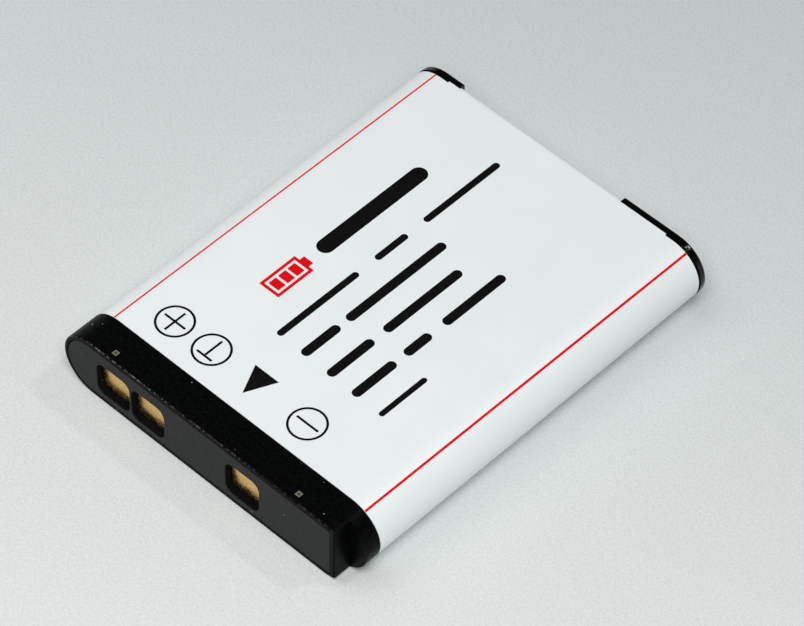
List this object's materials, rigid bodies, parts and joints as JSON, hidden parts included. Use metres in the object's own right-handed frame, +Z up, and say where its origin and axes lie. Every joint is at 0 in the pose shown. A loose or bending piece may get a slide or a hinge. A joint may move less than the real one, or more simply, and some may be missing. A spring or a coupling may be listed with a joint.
{
  "type": "camera battery",
  "caption": "Flat rechargeable camera battery with rounded sides: a label-wrapped cell, a black terminal cap with recessed gold contacts and a key notch, and a black rear cap.",
  "frame": {"origin": "middle of the underside, the flat face that the battery lies on", "axes": "+X across the contacts towards the key notch, +Y from the terminal face to the rear face, +Z up"},
  "size_m": [0.031, 0.04, 0.006],
  "materials": {
    "label_film": "satin printed film",
    "black_plastic": "moulded, lightly textured, edges worn",
    "gold_plating": "gold flash plating",
    "board_laminate": "solder mask",
    "chip_resin": "moulded resin",
    "chip_ceramic": "fired ceramic",
    "nickel": "rolled strip",
    "insulating_paper": "pressed paper",
    "can_aluminium": "drawn",
    "gasket_plastic": "moulded",
    "foam_tape": "adhesive tape"
  },
  "bodies": {
    "root": {"label_wrap": "label_film", "terminal_cap": "black_plastic", "contact_bezel": "black_plastic", "contact_plus": "gold_plating", "contact_sense": "gold_plating", "contact_minus": "gold_plating", "protection_board": "board_laminate", "protection_chip": "chip_resin", "switch_transistor": "chip_resin", "thermistor": "chip_ceramic", "chip_capacitors": "chip_ceramic", "chip_resistors": "chip_ceramic", "positive_strip": "nickel", "negative_strip": "nickel", "thermal_cutoff": "chip_resin", "cutoff_strip": "nickel", "lid_sheet": "insulating_paper", "cell_can": "can_aluminium", "cell_lid": "can_aluminium", "rivet_gasket": "gasket_plastic", "terminal_rivet": "nickel", "fill_plug": "can_aluminium", "rear_tape": "foam_tape", "rear_cap": "black_plastic"}
  },
  "joints": []
}
